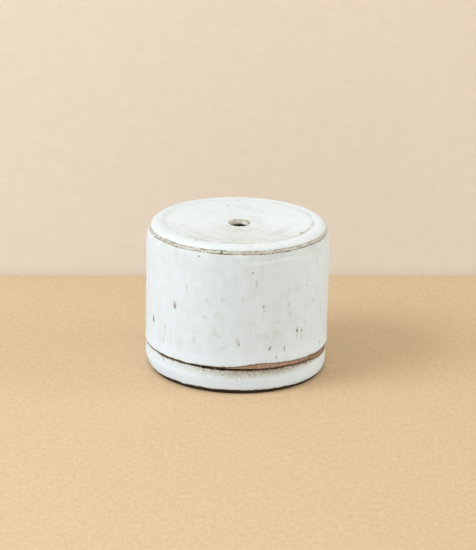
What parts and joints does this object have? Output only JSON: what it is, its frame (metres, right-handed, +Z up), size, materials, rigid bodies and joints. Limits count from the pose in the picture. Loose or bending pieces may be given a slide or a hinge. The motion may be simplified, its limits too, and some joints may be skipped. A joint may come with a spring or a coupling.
{
  "type": "incense box",
  "caption": "Round stoneware incense box: a shallow dish with an upstanding flange, under a tall lift-off cover with a smoke hole in its top.",
  "frame": {"origin": "on the ground, in the middle of the box", "axes": "+Z up along the box's axis, +X towards the side where the slanting seam is lowest, -Y towards the viewer of the picture"},
  "size_m": [0.0804, 0.0804, 0.0664],
  "materials": {
    "dish_glaze": "satin white glaze over brown stoneware, thin and iron-speckled at its edges",
    "cover_glaze": "satin white glaze over brown stoneware, with drawn-out iron specks and broken brown edges"
  },
  "bodies": {
    "dish": {"dish": "dish_glaze"},
    "cover": {"cover": "cover_glaze"}
  },
  "joints": [
    {"name": "cover_lift", "type": "slide", "parent": "dish", "child": "cover", "axis": [0, 0, 1], "range_m": [0, 0.05]}
  ]
}
